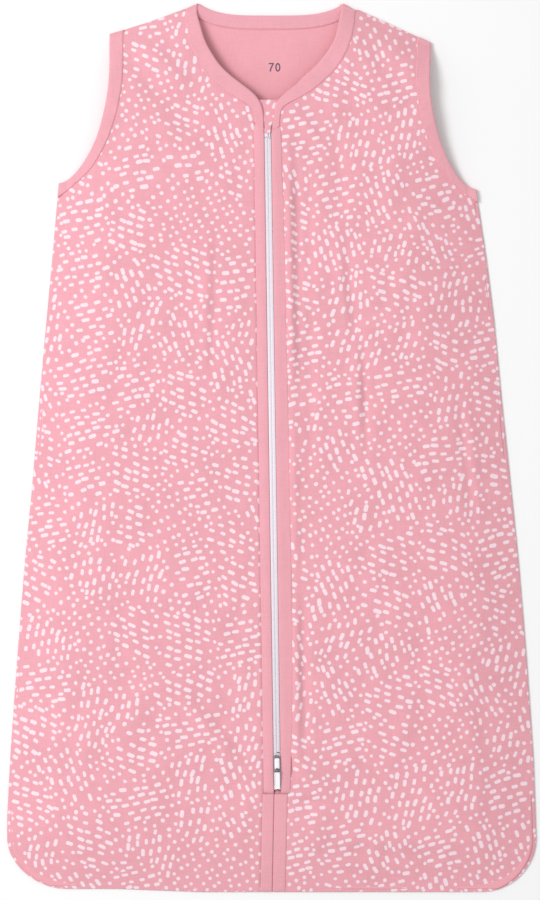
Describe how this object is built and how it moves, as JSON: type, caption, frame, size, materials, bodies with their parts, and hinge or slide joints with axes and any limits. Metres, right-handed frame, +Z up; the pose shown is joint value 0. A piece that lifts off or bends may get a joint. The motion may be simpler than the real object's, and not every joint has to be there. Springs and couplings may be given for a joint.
{
  "type": "baby sleeping bag",
  "caption": "Sleeveless flared sleeping bag lying flat, with bound neck and armholes, round bottom corners and a long front zip that opens from the hem end.",
  "frame": {"origin": "middle of the base, on the surface that the bag lies on", "axes": "+X across the bag, +Y along it from the hem to the neck, +Z up out of the front"},
  "size_m": [0.416, 0.7, 0.0174],
  "materials": {
    "print_fabric": "soft woven cotton, pink with small pale dashes and dots",
    "plain_fabric": "soft woven cotton, plain pink",
    "lining_fabric": "soft cotton jersey, plain pink",
    "thread": "matt sewing thread",
    "zip_tape": "woven polyester tape, off-white",
    "zip_nylon": "satin nylon, off-white",
    "zip_lacquer": "white gloss lacquer"
  },
  "bodies": {
    "bag": {"back_panel": "print_fabric", "back_lining": "lining_fabric", "front_left_panel": "print_fabric", "front_left_lining": "lining_fabric", "front_right_panel": "print_fabric", "front_right_lining": "lining_fabric", "neck_binding": "plain_fabric", "armhole_binding_left": "plain_fabric", "armhole_binding_right": "plain_fabric", "zip_placket_left": "plain_fabric", "hem_strip_left": "plain_fabric", "hem_strip_right": "plain_fabric", "zip_guard": "print_fabric", "zip_tape_left": "zip_tape", "zip_tape_end": "zip_tape", "zip_coil_left": "zip_nylon", "zip_coil_end": "zip_nylon", "zip_retainer_box": "zip_nylon", "zip_end_stop": "zip_lacquer", "zip_end_bartack": "thread"},
    "flap": {"flap_panel": "print_fabric", "flap_lining": "lining_fabric", "flap_neck_binding": "plain_fabric", "zip_placket_right": "plain_fabric", "zip_tape_right": "zip_tape", "zip_coil_right": "zip_nylon", "zip_insertion_pin": "zip_nylon"},
    "slider": {"slider_body": "zip_lacquer", "slider_cap": "zip_lacquer"},
    "pull": {"slider_pull": "zip_lacquer"}
  },
  "joints": [
    {"name": "flap_fold", "type": "hinge", "parent": "bag", "child": "flap", "pos_m": [0.015, -0.271, 0.0138], "axis": [0.064, 0.998, 0], "range_deg": [0, 150]},
    {"name": "slider_travel", "type": "slide", "parent": "bag", "child": "slider", "axis": [-0.0148, 0.9999, 0], "range_m": [0, 0.482]},
    {"name": "pull_swing", "type": "hinge", "parent": "slider", "child": "pull", "pos_m": [0.00465, -0.25257, 0.0162], "axis": [-0.9999, -0.0148, 0], "range_deg": [0, 165]}
  ]
}
